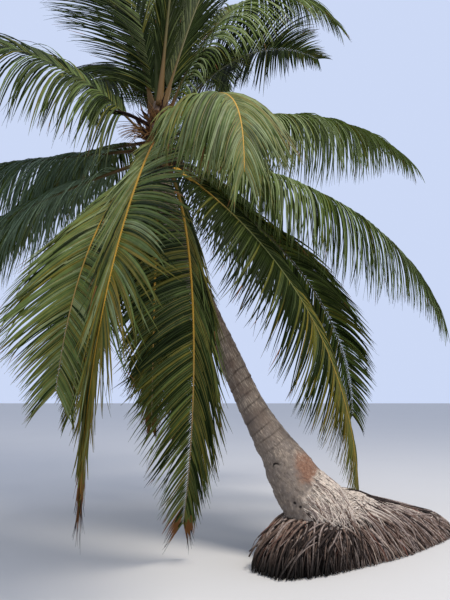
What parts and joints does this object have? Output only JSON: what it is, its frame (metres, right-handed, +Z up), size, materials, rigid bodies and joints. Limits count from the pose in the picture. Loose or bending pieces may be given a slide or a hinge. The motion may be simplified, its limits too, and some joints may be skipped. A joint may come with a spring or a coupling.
{
  "type": "coconut palm tree",
  "caption": "Leaning coconut palm with a flared foot on a mass of bare roots, a ringed trunk and a full crown of feather fronds.",
  "frame": {"origin": "in the flat cut under the trunk, at ground level", "axes": "+Z up, +X the way the root mass runs out and away from the crown's side of the foot, +Y away from the picture's viewer"},
  "size_m": [8.2898, 6.918, 9.1583],
  "materials": {
    "bark": "grey-brown bark with slanting leaf scars and fine upright cracks",
    "bole": "pale weathered fibrous wood",
    "roots": "thin bare roots, grey-brown to nearly black",
    "fibre": "brown woven fibre of old leaf bases",
    "husk": "dry dark brown husk",
    "young_leaf": "pale yellow-green folded leaf",
    "leaf": "olive green leaflets, waxy above, with yellow to orange ribs"
  },
  "bodies": {
    "root": {"trunk": "bark", "root_bole": "bole", "root_skirt_left": "roots", "root_skirt_front": "roots", "root_skirt_rear": "roots", "root_skirt_right_front": "roots", "root_skirt_right_rear": "roots", "crown_sleeve": "fibre", "spear_leaf": "young_leaf", "husk_left": "husk", "husk_left_front": "husk", "husk_front": "husk", "frond_front_crest": "leaf", "frond_front_crest_tip": "leaf", "frond_left_arch": "leaf", "frond_left_arch_tip": "leaf", "frond_left_upright": "leaf", "frond_left_upright_tip": "leaf", "frond_centre_upright": "leaf", "frond_right_upright": "leaf", "frond_right_crest": "leaf", "frond_right_crest_tip": "leaf", "frond_right_fan": "leaf", "frond_right_arch": "leaf", "frond_right_arch_tip": "leaf", "frond_right_sweep": "leaf", "frond_right_sweep_tip": "leaf", "frond_right_low": "leaf", "frond_right_low_rear": "leaf", "frond_right_low_rear_tip": "leaf", "frond_front_hanging": "leaf", "frond_front_hanging_tip": "leaf", "frond_front_left_long": "leaf", "frond_front_left_long_tip": "leaf", "frond_front_left": "leaf", "frond_left_level": "leaf", "frond_left_low": "leaf", "frond_rear_upright_middle": "leaf", "frond_rear_upright_left": "leaf", "frond_rear_upright_left_tip": "leaf", "frond_rear_upright_right": "leaf", "frond_rear_upright_right_tip": "leaf", "frond_rear_arch_right": "leaf", "frond_rear_arch_right_tip": "leaf", "frond_rear_arch_left": "leaf", "frond_rear_arch_left_tip": "leaf", "frond_rear_level": "leaf", "frond_rear_level_tip": "leaf", "frond_rear_level_right": "leaf", "frond_rear_level_right_tip": "leaf", "frond_rear_low_left": "leaf", "frond_rear_low": "leaf", "frond_rear_hanging": "leaf"}
  },
  "joints": []
}
